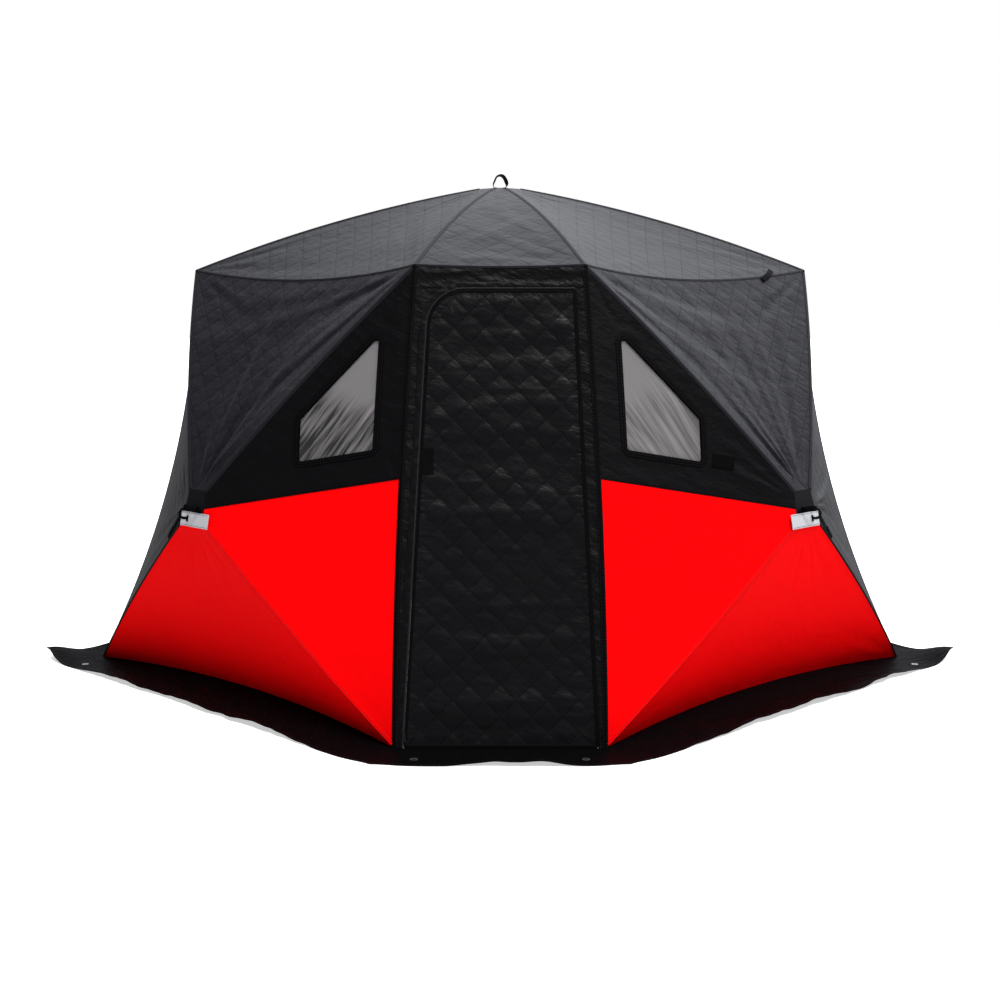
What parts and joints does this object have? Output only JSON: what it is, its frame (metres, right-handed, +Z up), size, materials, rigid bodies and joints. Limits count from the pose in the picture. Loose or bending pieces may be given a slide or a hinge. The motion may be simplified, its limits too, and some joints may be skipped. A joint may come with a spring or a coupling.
{
  "type": "ice fishing hut",
  "caption": "Pop-up ice fishing hut of insulated fabric panels pushed out by pole hubs, with clear windows, a zipped fabric door in a cut-off corner and a ground skirt.",
  "frame": {"origin": "on the ground, at the centre of the box round the skirt", "axes": "-Y is the front, where the door is; +X is the right as seen from the front; +Z is up"},
  "size_m": [4.0536, 3.6028, 2.0683],
  "materials": {
    "charcoal_fabric": "satin coated quilted fabric",
    "black_fabric": "matte quilted fabric",
    "red_fabric": "satin coated quilted fabric",
    "clear_vinyl": "clear soft vinyl",
    "skirt_cloth": "coated cloth",
    "black_webbing": "woven webbing",
    "hub_plastic": "moulded plastic",
    "fibreglass_pole": "solid fibreglass rod",
    "reflective_white": "reflective tape",
    "eyelet_metal": "pressed steel"
  },
  "bodies": {
    "shelter": {"corner_boots": "hub_plastic", "door_header": "black_fabric", "door_left_jamb": "black_fabric", "door_right_jamb": "black_fabric", "door_zipper_flap": "black_fabric", "hub_patches": "black_webbing", "left_back_plain_panel": "charcoal_fabric", "left_back_red_base_panel": "red_fabric", "left_back_red_side_panel": "red_fabric", "left_back_top_panel": "charcoal_fabric", "left_back_window_panel": "black_fabric", "left_front_plain_panel": "charcoal_fabric", "left_front_red_base_panel": "red_fabric", "left_front_red_side_panel": "red_fabric", "left_front_top_panel": "charcoal_fabric", "left_front_window_panel": "black_fabric", "pull_straps": "black_webbing", "reflective_tabs": "reflective_white", "right_back_plain_panel": "charcoal_fabric", "right_back_red_base_panel": "red_fabric", "right_back_red_side_panel": "red_fabric", "right_back_top_panel": "charcoal_fabric", "right_back_window_panel": "black_fabric", "right_front_plain_panel": "charcoal_fabric", "right_front_red_base_panel": "red_fabric", "right_front_red_side_panel": "red_fabric", "right_front_top_panel": "charcoal_fabric", "right_front_window_panel": "black_fabric", "roof_front_panel": "charcoal_fabric", "roof_hub": "hub_plastic", "roof_left_back_panel": "charcoal_fabric", "roof_left_front_panel": "charcoal_fabric", "roof_poles": "fibreglass_pole", "roof_right_back_panel": "charcoal_fabric", "roof_right_front_panel": "charcoal_fabric", "skirt_eyelets": "eyelet_metal", "skirt_front": "skirt_cloth", "skirt_left_back": "skirt_cloth", "skirt_left_front": "skirt_cloth", "skirt_right_back": "skirt_cloth", "skirt_right_front": "skirt_cloth", "wall_hubs": "hub_plastic", "wall_poles": "fibreglass_pole", "windows": "clear_vinyl"},
    "door": {"door": "black_fabric"}
  },
  "joints": [
    {"name": "door_hinge", "type": "hinge", "parent": "shelter", "child": "door", "pos_m": [0.34385, -1.60142, 0.004], "axis": [-0.0457, 0.2262, 0.973], "range_deg": [0, 150]}
  ]
}
